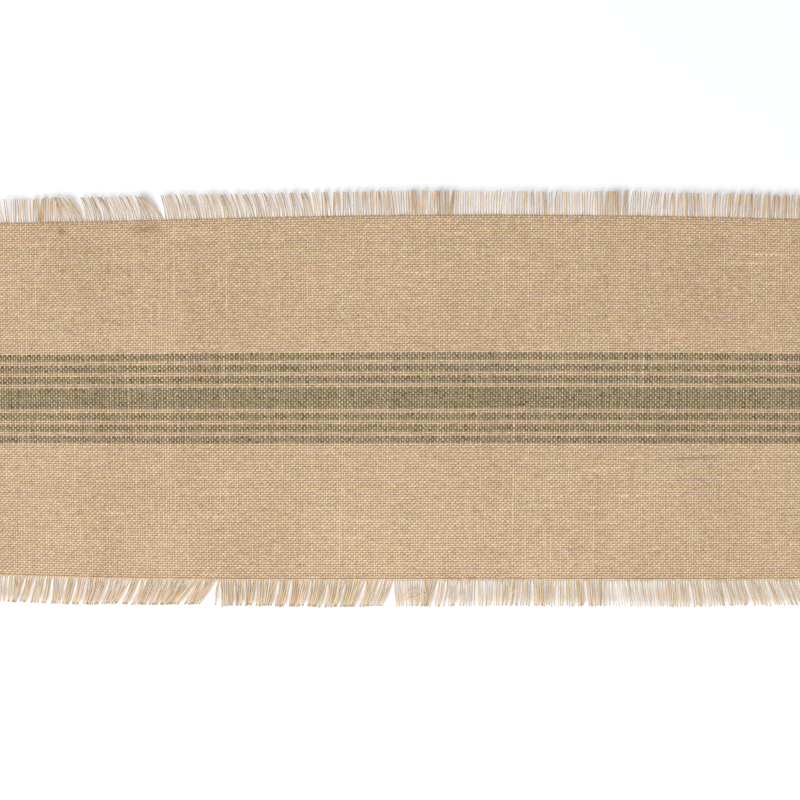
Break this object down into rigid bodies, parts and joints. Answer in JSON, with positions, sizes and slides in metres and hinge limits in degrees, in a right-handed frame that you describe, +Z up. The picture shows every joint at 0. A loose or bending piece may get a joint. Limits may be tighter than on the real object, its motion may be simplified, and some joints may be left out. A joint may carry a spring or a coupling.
{
  "type": "table runner",
  "caption": "Long flat table runner in coarse natural plain weave, with grey-green stripes along its middle and a loose yarn fringe on every side.",
  "frame": {"origin": "middle of the underside, on the surface that the runner lies on", "axes": "+X along the runner's length, +Y across it, +Z up out of its top face"},
  "size_m": [1.829, 0.356, 0.001],
  "materials": {
    "natural_yarn": "matt, coarse plain weave of natural tan yarn",
    "stripe_yarn": "matt, grey-green lengthwise yarn crossed by natural tan yarn",
    "fringe_yarn": "matt, loose pale yarn ends with golden tips"
  },
  "bodies": {
    "root": {"field_front": "natural_yarn", "stripe_front_3": "stripe_yarn", "ground_front_3": "natural_yarn", "stripe_front_2": "stripe_yarn", "ground_front_2": "natural_yarn", "stripe_front_1": "stripe_yarn", "ground_front_1": "natural_yarn", "stripe_middle": "stripe_yarn", "ground_back_1": "natural_yarn", "stripe_back_1": "stripe_yarn", "ground_back_2": "natural_yarn", "stripe_back_2": "stripe_yarn", "ground_back_3": "natural_yarn", "stripe_back_3": "stripe_yarn", "field_back": "natural_yarn", "fringe_front": "fringe_yarn", "fringe_back": "fringe_yarn", "fringe_left": "fringe_yarn", "fringe_right": "fringe_yarn"}
  },
  "joints": []
}
